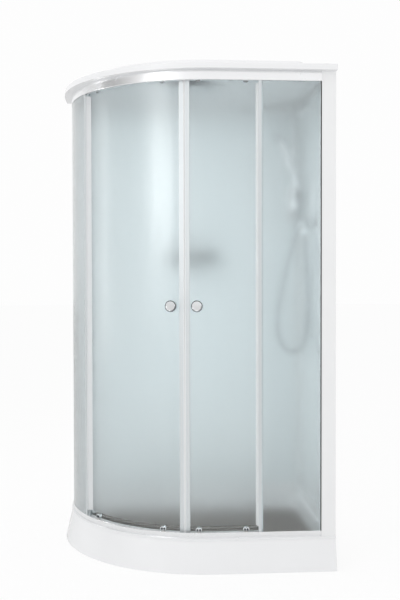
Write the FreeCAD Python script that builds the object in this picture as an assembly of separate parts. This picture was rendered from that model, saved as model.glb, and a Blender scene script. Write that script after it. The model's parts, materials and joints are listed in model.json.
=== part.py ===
"""Offset quadrant shower cabin, 1200 x 800 mm, with tray, sliding doors, walls, roof and shower set.

Frame: origin at the centre of the footprint on the floor, +X to the right, +Y to the back, +Z up.
All lengths are in millimetres.  "Inset" is the distance inwards from the footprint's front outline,
which runs straight along the left side, round the corner and straight along the front.
"""
import FreeCAD, Part
import math
import os

os.makedirs("parts", exist_ok=True)
Vec = FreeCAD.Vector
UP = Vec(0, 0, 1)
ORIGIN = Vec(0, 0, 0)

# ---------------------------------------------------------------- footprint
width = 1200.0
depth = 800.0
corner_radius = 680.0
left_x = -width / 2
right_x = width / 2
front_y = -depth / 2
back_y = depth / 2
arc_x = left_x + corner_radius
arc_y = front_y + corner_radius

# ---------------------------------------------------------------- heights
tray_top = 144.0
rail_top = 2139.0
rim_height = 26.0
dome_height = 25.0
deck_top = 80.0
tray_floor = 66.0

# ---------------------------------------------------------------- clearances
fit_gap = 0.3
meeting_gap = 0.4
running_gap = 0.05
wheel_lift = 0.15

# ---------------------------------------------------------------- glass lines and rails
glass_thickness = 5.0
rail_face = 35.0
rail_wall = 2.2
bottom_rail_height = 24.0
top_rail_height = 42.0
rail_inner_gap = 5.5
lip_wall = 1.8
ledge_width = 5.5
bead_width = 1.2
top_bead_height = 2.0
bottom_bead_height = 3.0
flange = 2.5
pane_overlap_gap = 19.0
groove_base = 8.5
pocket_depth = 15.0

fixed_outer = rail_face + rail_wall + fit_gap
fixed_inner = fixed_outer + glass_thickness
door_outer = fixed_inner + pane_overlap_gap
door_inner = door_outer + glass_thickness
door_middle = (door_outer + door_inner) / 2
door_radius = corner_radius - door_middle
rail_inner = door_inner + rail_inner_gap
bottom_rail_top = tray_top + bottom_rail_height
top_rail_bottom = rail_top - top_rail_height

# ---------------------------------------------------------------- doors
meeting_angle = 12.0
left_seam_angle = 61.2
left_door_end_angle = 62.9
right_seam_x = 268.0
right_door_end_x = 288.0
left_travel_deg = 31.0
right_travel = 225.0
door_glass_bottom = 157.0
door_glass_top = 2124.0
stile_top = 2122.0
clear_band_top = 190.0
stile_cover = 15.0
stile_wall = 2.0
magnet_width = 5.0
knob_offset = 54.0
knob_height = 1138.0
knob_radius = 23.5
knob_stand = 33.0
knob_neck = 8.5
inner_knob_radius = 16.0
left_wheel_angles = (20.8, 54.6)
right_front_wheel_angle = 6.5
right_rear_wheel_x = 214.0

# ---------------------------------------------------------------- wheels and their carriers
wheel_side_gap = 0.7
wheel_width = 11.0
wheel_offset = 6.2
wheel_flange = 0.8
groove_depth = 1.5
top_wheel_radius = 11.5
bottom_wheel_radius = 9.5
pin_radius = 3.0
disc_radius = 15.5
disc_thickness = 2.6
eccentricity = 5.0
stud_radius = 6.0
cap_radius = 12.0
cap_depth = 7.0
guide_cap_radius = 9.0
guide_cap_depth = 5.0
guide_hole_height = 176.0
guide_lobe_radius = 8.0
guide_lobe_offset = 5.5
guide_reach = 9.0
stop_length = 12.0
stop_height = 16.0
stop_gap = 2.5

# ---------------------------------------------------------------- posts, walls and roof
post_width = 62.0
post_depth = 40.0
post_wall = 2.0
corner_size = 35.0
wall_middle = 17.5
wall_thickness = 5.0
profile_thickness = 12.0
base_profile_height = 60.0
top_profile_height = 30.0
groove_grip = 10.0
roof_inset = 2.7
roof_skin = 4.0
roof_flange = 3.0
dome_inset = 72.0
dome_right_gap = 122.0
dome_back_gap = 70.0
dome_draft = 7.0
pan_inset = 78.0
pan_back_gap = 38.0
pan_drop = 12.0
pan_skin = 3.0

# ---------------------------------------------------------------- tray, deck, apron and frame
tray_edge = 30.0
tray_skin = 5.0
tray_lip_height = 8.0
apron_skin = 4.0
apron_floor_gap = 1.0
basin_inset = 92.0
basin_draft = 12.0
basin_wall_gap = 34.0
basin_corner = 60.0
deck_gap = 5.0
slat_width = 36.0
slat_spacing = 44.0
slat_thickness = 9.0
bar_width = 30.0
bar_height = 15.0
bar_wall = 1.5
bar_margin = 100.0
frame_inset = 50.0
foot_radius = 20.0
foot_pad_height = 8.0
foot_rod_radius = 5.0
drain_x = 300.0
drain_y = 150.0
drain_hole_radius = 45.0
drain_flange_radius = 56.0
outlet_radius = 20.0
outlet_height = 24.0
spigot_length = 48.0
trap_bottom = 2.0
trap_wall = 3.5
flange_wall = 3.5
flange_depth = 2.0
grate_pitch = 12.0

# ---------------------------------------------------------------- shower set
bar_stand = 45.0
bar_y = 272.0
bar_radius = 11.0
bar_bracket_heights = (1622.0, 2083.0)
pivot_y = 225.0
pivot_z = 1746.0
handset_lean = 23.0
handset_reach = 208.0
handset_head_radius = 42.0
hose_radius = 7.0
mixer_stand = 27.0
mixer_y = 85.0
mixer_z = 1515.0
inlet_spacing = 150.0
thread_radius = 10.48
cup_start = 20.5
cup_radius = 22.0
outlet_reach = 30.0
wall_nut_radius = 17.0
wall_nut_depth = 5.0
handle_radius = 19.0
handle_length = 38.0
rain_x = -7.0
rain_y = -93.0
rain_radius = 120.0
rain_drop = 28.0
rain_neck = 22.0
supply_nut_radius = 17.0
shelf_x = 33.0
shelf_z = 1342.0
shelf_width = 230.0
shelf_depth = 110.0
shelf_height = 42.0
shelf_corner = 60.0
shelf_wall = 3.0
rail_lift = 10.0
rail_strip = 8.0
dispenser_stand = 40.0
dispenser_z = 1548.0
dispenser_width = 44.0
dispenser_depth = 36.0
dispenser_height = 176.0
button_travel = 6.0
button_radius = 12.0
button_height = 34.0
button_socket = 14.0

wheel_outer_side = fixed_inner + fit_gap + lip_wall + wheel_side_gap
wheel_inner_side = wheel_outer_side + wheel_width
bead_inset = wheel_outer_side + wheel_offset
ledge_inner = bead_inset + ledge_width
wall_in_x = right_x - wall_middle - wall_thickness / 2
wall_out_x = right_x - wall_middle + wall_thickness / 2
bar_x = wall_in_x - bar_stand
mixer_x = wall_in_x - mixer_stand
dispenser_x = wall_in_x - dispenser_stand
wall_in_y = back_y - wall_middle - wall_thickness / 2
wall_out_y = back_y - wall_middle + wall_thickness / 2
profile_in_x = right_x - wall_middle - profile_thickness / 2
profile_in_y = back_y - wall_middle - profile_thickness / 2
post_left_x = right_x - post_width
rear_post_front_y = back_y - post_width
thread_start = wall_out_x + 6.5
pan_top = rail_top
pan_bottom = rail_top - pan_drop


# ================================================================ helpers
def save(name, *solids):
    """Write one node; several separate solids go in one compound."""
    shape = solids[0] if len(solids) == 1 else Part.makeCompound(list(solids))
    shape.exportStep("parts/" + name + ".step")


def box(x0, x1, y0, y1, z0, z1):
    return Part.makeBox(x1 - x0, y1 - y0, z1 - z0, Vec(x0, y0, z0))


def rod(radius, start, end):
    """Cylinder from one point to another."""
    along = end - start
    return Part.makeCylinder(radius, along.Length, start, along)


def fused(first, *others):
    shape = first.fuse(list(others)).removeSplitter()
    return shape.Solids[0] if len(shape.Solids) == 1 else shape


def prism(points, z0, z1):
    """Upright prism over a polygon of (x, y) points."""
    wire = Part.makePolygon([Vec(x, y, z0) for x, y in points + points[:1]])
    return Part.Face(wire).extrude(Vec(0, 0, z1 - z0))


def at_arc_start(inset, height):
    return Vec(arc_x, front_y + inset, height)


def on_arc(shape, angle):
    """Carry a shape built at the arc's start round the corner by an angle in degrees."""
    return shape.copy().rotate(Vec(arc_x, arc_y, 0), UP, -angle)


def on_front(shape, x):
    """Carry a shape built at the arc's start along the straight front to x."""
    return shape.copy().translate(Vec(x - arc_x, 0, 0))


def swept(profile, start_angle=0.0, end_angle=90.0, front_to=None, side_to=None):
    """Sweep an (inset, height) outline along the front line.

    The path turns round the corner from start_angle to end_angle, and may run on straight
    along the front to x = front_to and along the left side to y = side_to.
    """
    corners = [at_arc_start(inset, height) for inset, height in profile]
    section = Part.Face(Part.makePolygon(corners + corners[:1]))
    pieces = []
    if front_to is not None:
        pieces.append(section.extrude(Vec(front_to - arc_x, 0, 0)))
    turn = on_arc(section, start_angle)
    pieces.append(turn.revolve(Vec(arc_x, arc_y, 0), Vec(0, 0, -1), end_angle - start_angle))
    if side_to is not None:
        pieces.append(on_arc(section, 90).extrude(Vec(0, side_to - arc_y, 0)))
    return pieces[0] if len(pieces) == 1 else fused(*pieces)


def along_line(outline, z0, z1, mirrored=False):
    """Upright strip at the arc's start from (along, inset) points; mirrored turns it to the other hand."""
    side = -1 if mirrored else 1
    return prism([(arc_x + side * along, front_y + inset) for along, inset in outline], z0, z1)


def turned(profile, height, along=0.0):
    """Revolve an (inset, radius) outline about the level axis square to the glass at that height."""
    axis_x = arc_x + along
    corners = [Vec(axis_x, front_y + inset, height + radius) for inset, radius in profile]
    section = Part.Face(Part.makePolygon(corners + corners[:1]))
    return section.revolve(Vec(axis_x, front_y, height), Vec(0, 1, 0), 360)


def spun(profile, x, y):
    """Revolve a (radius, height) outline about the upright axis at x, y."""
    corners = [Vec(x + radius, y, height) for radius, height in profile]
    section = Part.Face(Part.makePolygon(corners + corners[:1]))
    return section.revolve(Vec(x, y, 0), UP, 360)


def quadrant_wire(inset, x_end, y_end, height, corner):
    """Closed quadrant outline at one height; corner rounds the three square corners."""
    x_left = left_x + inset
    y_front = front_y + inset
    radius = corner_radius - inset
    half = math.sqrt(0.5)

    def bend(cx, cy, r, mid_x, mid_y, start, end):
        middle = Vec(cx + r * mid_x * half, cy + r * mid_y * half, height)
        return Part.Arc(start, middle, end).toShape()

    def p(x, y):
        return Vec(x, y, height)

    edges = [
        bend(arc_x, arc_y, radius, -1, -1, p(x_left, arc_y), p(arc_x, y_front)),
        Part.makeLine(p(arc_x, y_front), p(x_end - corner, y_front)),
    ]
    if corner > 0:
        edges.append(bend(x_end - corner, y_front + corner, corner, 1, -1,
                          p(x_end - corner, y_front), p(x_end, y_front + corner)))
    edges.append(Part.makeLine(p(x_end, y_front + corner), p(x_end, y_end - corner)))
    if corner > 0:
        edges.append(bend(x_end - corner, y_end - corner, corner, 1, 1,
                          p(x_end, y_end - corner), p(x_end - corner, y_end)))
    edges.append(Part.makeLine(p(x_end - corner, y_end), p(x_left + corner, y_end)))
    if corner > 0:
        edges.append(bend(x_left + corner, y_end - corner, corner, -1, 1,
                          p(x_left + corner, y_end), p(x_left, y_end - corner)))
    edges.append(Part.makeLine(p(x_left, y_end - corner), p(x_left, arc_y)))
    return Part.Wire(edges)


def quadrant(inset, x_end, y_end, z0, z1, corner=0.0):
    """Upright slab with a quadrant outline."""
    return Part.Face(quadrant_wire(inset, x_end, y_end, z0, corner)).extrude(Vec(0, 0, z1 - z0))


def quadrant_taper(low, high):
    """Slab between two quadrant outlines, each (inset, x_end, y_end, height, corner)."""
    return Part.makeLoft([quadrant_wire(*low), quadrant_wire(*high)], True, True)


# ================================================================ tray, apron, deck and frame
basin_right = wall_in_x - 14.0
basin_back = wall_in_y - 14.0
tray_under = tray_floor - tray_skin


def tray_basin():
    """Shell with a flat rim, a folded lip all round and a basin with sloping sides."""
    rim = quadrant(tray_edge, right_x, back_y, tray_top - tray_skin, tray_top)
    lip = quadrant(tray_edge - 2.0, right_x, back_y, tray_top - tray_lip_height, tray_top - 1.5)
    lip = lip.cut(quadrant(tray_edge + 2.0, right_x - 4.0, back_y - 4.0,
                           tray_top - tray_lip_height, tray_top))
    outer_mouth = (basin_inset - tray_skin, basin_right + tray_skin, basin_back + tray_skin,
                   tray_top - 2.0, basin_corner + tray_skin)
    outer_floor = (basin_inset + basin_draft - tray_skin, basin_right - basin_draft + tray_skin,
                   basin_back - basin_draft + tray_skin, tray_under, basin_corner + tray_skin)
    mouth = (basin_inset, basin_right, basin_back, tray_top, basin_corner)
    floor = (basin_inset + basin_draft, basin_right - basin_draft, basin_back - basin_draft,
             tray_floor, basin_corner)
    shell = fused(rim, lip, quadrant_taper(outer_floor, outer_mouth))
    shell = shell.cut(quadrant_taper(floor, mouth))
    hole = Part.makeCylinder(drain_hole_radius, 40, Vec(drain_x, drain_y, tray_under - 20))
    return shell.cut(hole)


def front_apron():
    """Flared skirt from the floor up to the tray's lip, open at the back and on the wall side."""
    low = apron_floor_gap
    high = tray_top - tray_lip_height - fit_gap
    flare = (tray_edge + 1.0) / high
    low_inset = 0.0
    high_inset = flare * (high - low)
    outside = quadrant_taper((low_inset, right_x, back_y, low, 0), (high_inset, right_x, back_y, high, 0))
    inside = quadrant_taper((low_inset + apron_skin, right_x + 1, back_y + 1, low - 0.01, 0),
                            (high_inset + apron_skin, right_x + 1, back_y + 1, high + 0.01, 0))
    return outside.cut(inside)


bearer_xs = (arc_x - 340.0, drain_x - 140.0, drain_x + 120.0)


def floor_deck():
    """Lift-out deck of slats along X on three bearers, cut to the basin's outline."""
    inset = basin_inset + basin_draft + deck_gap
    x_end = basin_right - basin_draft - deck_gap
    y_end = basin_back - basin_draft - deck_gap
    rounded = basin_corner - deck_gap
    slat_bottom = deck_top - slat_thickness
    blank = quadrant(inset, x_end, y_end, slat_bottom, deck_top, rounded)
    slats = []
    y = y_end
    while y - slat_width > front_y + inset:
        slats.append(blank.common(box(left_x, right_x, y - slat_width, y, slat_bottom, deck_top)))
        y -= slat_spacing
    bearers = []
    for x in bearer_xs:
        reach = box(x, x + slat_width, front_y, back_y, tray_floor, slat_bottom)
        bearers.append(quadrant(inset + 40, x_end, y_end, tray_floor, slat_bottom, 0).common(reach))
    return fused(slats[0], *slats[1:], *bearers)


long_bar_ys = (front_y + bar_margin, (front_y + back_y) / 2, back_y - bar_margin)
cross_bar_xs = (arc_x - 440.0, arc_x - 20.0, right_x - bar_margin)
long_bar_bottom = tray_under - bar_height
cross_bar_bottom = long_bar_bottom - bar_height


def outline_reach(offset):
    """Half chord of the frame's corner arc at an offset from the arc's centre."""
    return math.sqrt((corner_radius - frame_inset) ** 2 - max(offset, 0.0) ** 2)


def long_bar_ends(y):
    left = left_x + frame_inset
    if y < arc_y:
        left = arc_x - outline_reach(arc_y - y + bar_width / 2)
    return left, right_x - frame_inset


def cross_bar_ends(x):
    front = front_y + frame_inset
    if x < arc_x:
        front = arc_y - outline_reach(arc_x - x + bar_width / 2)
    return front, back_y - frame_inset - bar_width / 2


def tube_bar(x0, x1, y0, y1, z0, z1, along_x):
    """Hollow rectangular bar, open at both ends."""
    outer = box(x0, x1, y0, y1, z0, z1)
    if along_x:
        inner = box(x0 - 1, x1 + 1, y0 + bar_wall, y1 - bar_wall, z0 + bar_wall, z1 - bar_wall)
    else:
        inner = box(x0 + bar_wall, x1 - bar_wall, y0 - 1, y1 + 1, z0 + bar_wall, z1 - bar_wall)
    return outer.cut(inner)


def base_frame():
    """Tubes of the welded frame: three along the cabin on top of three across it."""
    half = bar_width / 2
    long_bars = [tube_bar(*long_bar_ends(y), y - half, y + half, long_bar_bottom, tray_under, True)
                 for y in long_bar_ys]
    cross_bars = [tube_bar(x - half, x + half, *cross_bar_ends(x), cross_bar_bottom, long_bar_bottom, False)
                  for x in cross_bar_xs]
    return long_bars + cross_bars


def feet_spots():
    """Feet stand under the ends of the cross bars."""
    margin = foot_radius + 5.0
    spots = []
    for x in cross_bar_xs:
        low, high = cross_bar_ends(x)
        spots.append((x, low + margin))
        spots.append((x, high - margin))
    return spots


def foot_rod(x, y):
    """Threaded foot with its lock nut, screwed up against the cross bar."""
    stem = Part.makeCylinder(foot_rod_radius, cross_bar_bottom - foot_pad_height,
                             Vec(x, y, foot_pad_height))
    nut_size = foot_rod_radius * 1.9
    corners = [(x + nut_size * math.cos(math.radians(60 * k)),
                y + nut_size * math.sin(math.radians(60 * k))) for k in range(6)]
    nut = prism(corners, cross_bar_bottom - 6.0, cross_bar_bottom)
    return fused(stem, nut)


def foot_pad(x, y):
    profile = [(0, 0), (foot_radius, 0), (foot_radius * 0.6, foot_pad_height), (0, foot_pad_height)]
    return spun(profile, x, y)


def drain_trap():
    """Flat trap under the tray with a level outlet pipe to the back."""
    body = Part.makeCylinder(drain_flange_radius, tray_under - trap_bottom, Vec(drain_x, drain_y, trap_bottom))
    well = Part.makeCylinder(drain_hole_radius - 4, tray_under, Vec(drain_x, drain_y, trap_bottom + trap_wall))
    spigot_y = back_y - spigot_length
    pipe = rod(outlet_radius - 1.5, Vec(drain_x, drain_y, outlet_height),
               Vec(drain_x, spigot_y, outlet_height))
    spigot = rod(outlet_radius, Vec(drain_x, spigot_y, outlet_height), Vec(drain_x, back_y, outlet_height))
    bore = rod(outlet_radius - trap_wall, Vec(drain_x, drain_y, outlet_height),
               Vec(drain_x, back_y + 1, outlet_height))
    return fused(body, pipe, spigot).cut(well).cut(bore)


def drain_flange():
    """Ring that clamps the tray floor to the trap."""
    neck = drain_hole_radius - fit_gap
    return spun([(neck - flange_wall, tray_under), (neck, tray_under), (neck, tray_floor),
                 (drain_flange_radius, tray_floor), (drain_flange_radius, tray_floor + flange_depth),
                 (neck - flange_wall, tray_floor + flange_depth)], drain_x, drain_y)


def drain_grate():
    """Slotted disc that lies in the flange."""
    radius = drain_hole_radius - fit_gap - flange_wall - fit_gap
    top = tray_floor + flange_depth
    plug = Part.makeCylinder(radius, flange_depth + 2, Vec(drain_x, drain_y, tray_floor - 2))
    rest = Part.makeCylinder(radius + flange_wall, 1.0, Vec(drain_x, drain_y, top))
    grate = fused(plug, rest)
    for k in range(-2, 3):
        y = drain_y + grate_pitch * k
        reach = math.sqrt((radius - 6) ** 2 - (grate_pitch * k) ** 2)
        grate = grate.cut(box(drain_x - reach, drain_x + reach, y - 2.5, y + 2.5, tray_floor - 3, top + 2))
    return grate


# ================================================================ rails
def bottom_rail():
    """Extruded rail bent to the corner: glass pocket, wheel ledge with its bead, and drip lip."""
    low = tray_top
    high = bottom_rail_top
    pocket = low + groove_base
    lip_in = fixed_inner + fit_gap
    outline = [
        (rail_face + 2.5, low), (rail_face + 2.5, low + 5.5), (rail_face, low + 7.5),
        (rail_face, high - 1.5), (rail_face + 1, high), (rail_face + rail_wall, high),
        (rail_face + rail_wall, pocket), (lip_in, pocket), (lip_in, high - 5),
        (lip_in + lip_wall, high - 5), (lip_in + lip_wall, low + flange),
        (bead_inset - bead_width / 2, low + flange),
        (bead_inset - bead_width / 2, low + flange + bottom_bead_height),
        (bead_inset + bead_width / 2, low + flange + bottom_bead_height),
        (bead_inset + bead_width / 2, low + flange),
        (rail_inner - 2, low + flange), (rail_inner - 2, low + 8), (rail_inner, low + 8),
        (rail_inner, low),
    ]
    return swept(outline, 0, 90, post_left_x - fit_gap, rear_post_front_y - fit_gap)


def top_rail():
    """Extruded rail bent to the corner: shaped face, glass pocket, ledge the wheels hang on."""
    low = top_rail_bottom
    high = rail_top
    lip_in = fixed_inner + fit_gap
    web = low + pocket_depth + 2
    outline = [
        (rail_face + 1.2, low), (rail_face, low + 2.5), (rail_face, high - 3),
        (rail_face + 1.8, high), (rail_inner, high), (rail_inner, high - 10),
        (rail_inner - 2, high - 10), (rail_inner - 2, high - flange),
        (rail_face + rail_wall, high - flange), (rail_face + rail_wall, web),
        (lip_in + lip_wall, web), (lip_in + lip_wall, low + flange),
        (bead_inset - bead_width / 2, low + flange),
        (bead_inset - bead_width / 2, low + flange + top_bead_height),
        (bead_inset + bead_width / 2, low + flange + top_bead_height),
        (bead_inset + bead_width / 2, low + flange),
        (ledge_inner, low + flange), (ledge_inner, low), (lip_in, low),
        (lip_in, low + pocket_depth), (rail_face + rail_wall, low + pocket_depth),
        (rail_face + rail_wall, low),
    ]
    return swept(outline, 0, 90, post_left_x - fit_gap, rear_post_front_y - fit_gap)


def door_stops():
    """Rubber blocks in the top rail that a wheel runs against at the end of each door's travel."""
    half = stop_length / 2
    outer = wheel_outer_side + 0.4
    inner = bead_inset - bead_width / 2 - fit_gap
    block = along_line([(-half, outer), (half, outer), (half, inner), (-half, inner)],
                       top_rail_bottom + flange, top_rail_bottom + flange + stop_height)
    reach = top_wheel_radius + half + stop_gap
    left_end = left_wheel_angles[1] + left_travel_deg + math.degrees(reach / (corner_radius - bead_inset))
    return [on_arc(block, left_end), on_front(block, right_rear_wheel_x + right_travel + reach)]


# ================================================================ posts and walls
fixed_top = top_rail_bottom + pocket_depth - fit_gap
fixed_bottom = tray_top + groove_base + fit_gap


def extruded(outer, chambers):
    """Cut full-length grooves and chambers, each (x0, x1, y0, y1), out of an upright profile."""
    for x0, x1, y0, y1 in chambers:
        outer = outer.cut(box(x0, x1, y0, y1, tray_top - 1, rail_top + 1))
    return outer


def front_right_post():
    """Hollow wall post at the right end of the front, with a raised lip and a groove for the pane."""
    y0 = front_y + rail_face
    y1 = y0 + post_depth
    outer = box(post_left_x, right_x, y0, y1, tray_top, rail_top)
    lip = box(post_left_x, post_left_x + 5, y0 - 1.5, y0, tray_top + fit_gap, rail_top - 6)
    shell = fused(outer, lip)
    glass_x = post_left_x + groove_grip + 2
    glass_y = front_y + fixed_inner + fit_gap
    deep_y = y1 - groove_grip - fit_gap
    near_x = wall_in_x - fit_gap
    far_x = wall_out_x + fit_gap
    w = post_wall
    chambers = [
        (post_left_x - 1, glass_x, front_y + fixed_outer - fit_gap, glass_y),
        (near_x, far_x, deep_y, y1 + 1),
        (post_left_x + w, glass_x, glass_y + w, y1 - w),
        (glass_x + w, near_x - w, y0 + w, y1 - w),
        (near_x, far_x, y0 + w, deep_y - w),
        (far_x + w, right_x - w, y0 + w, y1 - w),
    ]
    return extruded(shell, chambers)


def rear_left_post():
    """Hollow wall post at the back end of the left side."""
    x0 = left_x + rail_face - 2
    x1 = x0 + post_depth
    y0 = rear_post_front_y
    outer = box(x0, x1, y0, back_y, tray_top, rail_top)
    glass_x = left_x + fixed_inner + fit_gap
    glass_y = y0 + groove_grip + 2
    deep_x = x1 - groove_grip - fit_gap
    near_y = wall_in_y - fit_gap
    far_y = wall_out_y + fit_gap
    w = post_wall
    chambers = [
        (left_x + fixed_outer - fit_gap, glass_x, y0 - 1, glass_y),
        (deep_x, x1 + 1, near_y, far_y),
        (glass_x + w, x1 - w, y0 + w, near_y - w),
        (x0 + w, glass_x, glass_y + w, back_y - w),
        (glass_x + w, deep_x - w, near_y, back_y - w),
        (deep_x, x1 - w, far_y + w, back_y - w),
    ]
    return extruded(outer, chambers)


def corner_profile():
    """Square corner profile that both wall panels slide into."""
    x0 = right_x - corner_size
    y0 = back_y - corner_size
    outer = box(x0, right_x, y0, back_y, tray_top, rail_top)
    w = post_wall
    grip = groove_grip + fit_gap
    near_x = wall_in_x - fit_gap
    near_y = wall_in_y - fit_gap
    far_x = wall_out_x + fit_gap
    far_y = wall_out_y + fit_gap
    chambers = [
        (near_x, far_x, y0 - 1, y0 + grip),
        (x0 - 1, x0 + grip, near_y, far_y),
        (x0 + grip + w, right_x - w, y0 + grip + w, back_y - w),
        (far_x + w, right_x - w, y0 + w, y0 + grip),
        (x0 + w, x0 + grip, far_y + w, back_y - w),
        (x0 + w, near_x - w, y0 + w, near_y - w),
    ]
    return extruded(outer, chambers)


side_wall_front = front_y + rail_face + post_depth
side_wall_back = back_y - corner_size
back_wall_left = left_x + rail_face - 2 + post_depth
back_wall_right = right_x - corner_size
panel_low = tray_top + base_profile_height - groove_grip
panel_high = rail_top - top_profile_height + groove_grip


def side_wall_panel():
    panel = box(wall_in_x, wall_out_x, side_wall_front - groove_grip, side_wall_back + groove_grip,
                panel_low, panel_high)
    for y, z in mixer_wall_holes():
        panel = panel.cut(rod(thread_radius + 1.5, Vec(wall_in_x - 5, y, z), Vec(wall_out_x + 5, y, z)))
    return panel


def back_wall_panel():
    return box(back_wall_left - groove_grip, back_wall_right + groove_grip, wall_in_y, wall_out_y,
               panel_low, panel_high)


def wall_profile(length, height, groove_up):
    """Hollow wall profile along X from 0 to length, centred on y = 0, with a panel groove."""
    half = profile_thickness / 2
    outer = box(0, length, -half, half, 0, height)
    half_groove = wall_thickness / 2 + fit_gap
    grip = groove_grip + fit_gap
    if groove_up:
        groove = box(-1, length + 1, -half_groove, half_groove, height - grip, height + 1)
        hollow = box(-1, length + 1, -half + post_wall, half - post_wall, post_wall,
                     height - grip - post_wall)
    else:
        groove = box(-1, length + 1, -half_groove, half_groove, -1, grip)
        hollow = box(-1, length + 1, -half + post_wall, half - post_wall, grip + post_wall,
                     height - post_wall)
    return outer.cut(groove).cut(hollow)


def wall_profile_pair(height, low, groove_up):
    """The same profile cut once for the back wall and once for the side wall."""
    back = wall_profile(back_wall_right - back_wall_left - 2 * fit_gap, height, groove_up)
    back.translate(Vec(back_wall_left + fit_gap, back_y - wall_middle, low))
    side = wall_profile(side_wall_back - side_wall_front - 2 * fit_gap, height, groove_up)
    side.rotate(ORIGIN, UP, 90)
    side.translate(Vec(right_x - wall_middle, side_wall_front + fit_gap, low))
    return [back, side]


# ================================================================ fixed panes and their trims
def pane_profile(low, high):
    return [(fixed_outer, low), (fixed_inner, low), (fixed_inner, high), (fixed_outer, high)]


def fixed_glass_left():
    return swept(pane_profile(fixed_bottom, fixed_top), left_seam_angle, 90,
                 side_to=rear_post_front_y + groove_grip)


def fixed_glass_right():
    return box(right_seam_x, post_left_x + groove_grip, front_y + fixed_outer, front_y + fixed_inner,
               fixed_bottom, fixed_top)


edge_outer = fixed_outer - fit_gap - stile_wall
edge_inner = fixed_inner + fit_gap + stile_wall
trim_low = bottom_rail_top + fit_gap
trim_high = top_rail_bottom - fit_gap
edge_cover = 10.0
gasket_width = 3.0


def edge_outline():
    """U channel over a fixed pane's edge; along is 0 at the pane's edge."""
    slot_out = fixed_outer - fit_gap
    slot_in = fixed_inner + fit_gap
    web = -fit_gap
    return [(web - stile_wall, edge_outer), (edge_cover, edge_outer), (edge_cover, slot_out),
            (web, slot_out), (web, slot_in), (edge_cover, slot_in), (edge_cover, edge_inner),
            (web - stile_wall, edge_inner)]


def lip_outline():
    """Soft lip that leans from the fixed pane's edge to the door's outer face."""
    root = -fit_gap - stile_wall - fit_gap
    tip = door_outer - fit_gap
    return [(root, fixed_outer), (root, edge_inner), (root - 1.5, edge_inner), (root - 7.5, tip),
            (root - 9.0, tip), (root - 3.0, edge_inner - 1.0), (root - 3.0, fixed_outer)]


def both_seams(outline, low, high):
    """The same strip at the left seam, on the corner, and at the right seam, on the front."""
    left = on_arc(along_line(outline, low, high, mirrored=True), left_seam_angle)
    right = on_front(along_line(outline, low, high), right_seam_x)
    return [left, right]


def glazing_gaskets():
    """Rubber channels that close the fixed panes' ends against the posts."""
    low = trim_low
    high = trim_high
    sides = [(fixed_outer - 2.5, fixed_outer - fit_gap), (fixed_inner + fit_gap, fixed_inner + 2.5)]
    x1 = post_left_x - fit_gap
    y1 = rear_post_front_y - fit_gap
    right = [box(x1 - gasket_width, x1, front_y + near, front_y + far, low, high) for near, far in sides]
    left = [box(left_x + near, left_x + far, y1 - gasket_width, y1, low, high) for near, far in sides]
    return right + left


# ================================================================ doors
magnet_start = meeting_gap / 2
web_start = magnet_start + magnet_width
glass_start = web_start + stile_wall + fit_gap
slot_outer = door_outer - fit_gap
slot_inner = door_inner + fit_gap
seal_wall = 1.5
seal_top = door_glass_bottom + 9.0
hanger_hole_height = (top_rail_bottom + flange + top_bead_height + wheel_lift
                      + top_wheel_radius - groove_depth - eccentricity)


def angle_for(length):
    """Angle that a length along the doors' line turns through."""
    return math.degrees(length / door_radius)


def glass_hole(height):
    return turned([(door_outer - 5, 0), (door_outer - 5, stud_radius + 0.5),
                   (door_inner + 5, stud_radius + 0.5), (door_inner + 5, 0)], height)


def door_profile():
    return [(door_outer, door_glass_bottom), (door_inner, door_glass_bottom),
            (door_inner, door_glass_top), (door_outer, door_glass_top)]


left_glass_start = meeting_angle + angle_for(glass_start)
left_glass_end = left_door_end_angle - angle_for(stile_wall + fit_gap)
right_glass_start = meeting_angle - angle_for(glass_start)
right_glass_end = right_door_end_x - stile_wall - fit_gap
left_knob_angle = meeting_angle + angle_for(knob_offset)
right_knob_angle = meeting_angle - angle_for(knob_offset)


def left_door_glass():
    glass = swept(door_profile(), left_glass_start, left_glass_end)
    for angle in left_wheel_angles:
        glass = glass.cut(on_arc(glass_hole(hanger_hole_height), angle))
        glass = glass.cut(on_arc(glass_hole(guide_hole_height), angle))
    return glass.cut(on_arc(glass_hole(knob_height), left_knob_angle))


def right_door_glass():
    """Flat pane with a short bent part where the doors meet."""
    corners = [at_arc_start(inset, height) for inset, height in door_profile()]
    section = Part.Face(Part.makePolygon(corners + corners[:1]))
    bent = section.revolve(Vec(arc_x, arc_y, 0), Vec(0, 0, -1), right_glass_start)
    glass = fused(section.extrude(Vec(right_glass_end - arc_x, 0, 0)), bent)
    for height in (hanger_hole_height, guide_hole_height):
        glass = glass.cut(on_arc(glass_hole(height), right_front_wheel_angle))
        glass = glass.cut(on_front(glass_hole(height), right_rear_wheel_x))
    return glass.cut(on_arc(glass_hole(knob_height), right_knob_angle))


def stile_outline(start, cover):
    """U channel over a door's upright edge, with its web at start."""
    outer = slot_outer - stile_wall
    inner = slot_inner + stile_wall
    web = start + stile_wall
    return [(start, outer), (start + stile_wall + fit_gap + cover, outer),
            (start + stile_wall + fit_gap + cover, slot_outer), (web, slot_outer), (web, slot_inner),
            (start + stile_wall + fit_gap + cover, slot_inner),
            (start + stile_wall + fit_gap + cover, inner), (start, inner)]


def at_meeting_line(outline, left):
    """Upright strip beside the meeting line, square to the corner at the middle of the stile."""
    middle = web_start + (stile_wall + stile_cover) / 2
    shifted = [(along - middle, inset) for along, inset in outline]
    strip = along_line(shifted, door_glass_bottom, stile_top, mirrored=left)
    return on_arc(strip, meeting_angle + (1 if left else -1) * angle_for(middle))


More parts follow.
